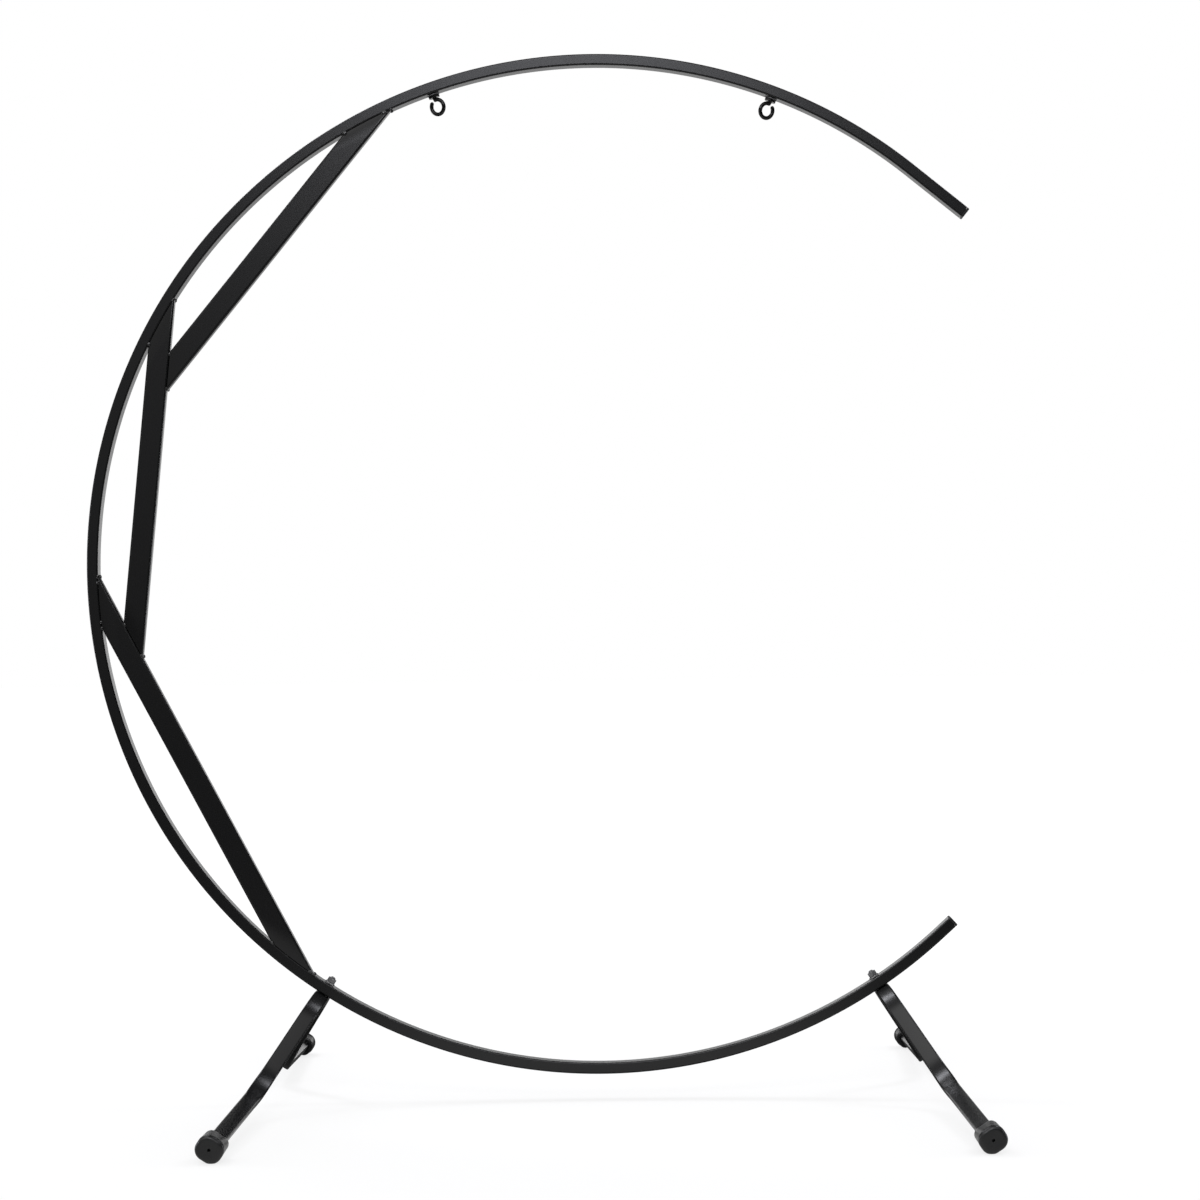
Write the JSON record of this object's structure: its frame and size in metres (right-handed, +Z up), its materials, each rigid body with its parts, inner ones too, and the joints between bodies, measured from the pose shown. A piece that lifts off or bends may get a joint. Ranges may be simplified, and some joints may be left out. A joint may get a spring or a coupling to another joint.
{
  "type": "gong stand",
  "caption": "Free-standing gong stand: an open steel ring with straight braces on one side, bow-shaped pivoting legs with rubber caps and swivelling open hooks.",
  "frame": {"origin": "on the floor, under the middle of the outline", "axes": "+Z up, -Y towards the front, +X towards the ring's open side"},
  "size_m": [1.043, 0.8644, 1.2298],
  "materials": {
    "powder_coat": "satin black powder coat",
    "plug_plastic": "satin black",
    "rubber": "matt black",
    "hardware": "blackened, satin",
    "hook_black": "gloss black"
  },
  "bodies": {
    "frame": {"c_frame_tube": "powder_coat", "upper_brace": "powder_coat", "middle_brace": "powder_coat", "lower_brace": "powder_coat", "upper_end_plug": "plug_plastic", "lower_end_plug": "plug_plastic", "left_leg_bolt": "hardware", "left_leg_washer": "hardware", "left_leg_nut": "hardware", "left_hook_lock_nut": "hook_black", "left_hook_insert": "hardware", "right_leg_bolt": "hardware", "right_leg_washer": "hardware", "right_leg_nut": "hardware", "right_hook_lock_nut": "hook_black", "right_hook_insert": "hardware"},
    "left_leg": {"left_leg_tube": "powder_coat", "left_front_foot_cap": "rubber", "left_rear_foot_cap": "rubber"},
    "right_leg": {"right_leg_tube": "powder_coat", "right_front_foot_cap": "rubber", "right_rear_foot_cap": "rubber"},
    "left_hook": {"left_hook": "hook_black"},
    "right_hook": {"right_hook": "hook_black"}
  },
  "joints": [
    {"name": "left_leg_pivot", "type": "hinge", "parent": "frame", "child": "left_leg", "pos_m": [-0.25372, -0.00081, 0.12246], "axis": [0.5476, 0, 0.8368], "range_deg": [-90, 90]},
    {"name": "right_leg_pivot", "type": "hinge", "parent": "frame", "child": "right_leg", "pos_m": [0.41025, -0.00081, 0.12246], "axis": [-0.5476, 0, 0.8368], "range_deg": [-90, 90]},
    {"name": "left_hook_swivel", "type": "hinge", "parent": "frame", "child": "left_hook", "pos_m": [-0.1026, -0.00081, 1.17033], "axis": [-0.3173, 0, 0.9483], "range_deg": [-90, 90]},
    {"name": "right_hook_swivel", "type": "hinge", "parent": "frame", "child": "right_hook", "pos_m": [0.28439, -0.00081, 1.16121], "axis": [0.3616, 0, 0.9323], "range_deg": [-90, 90]}
  ]
}
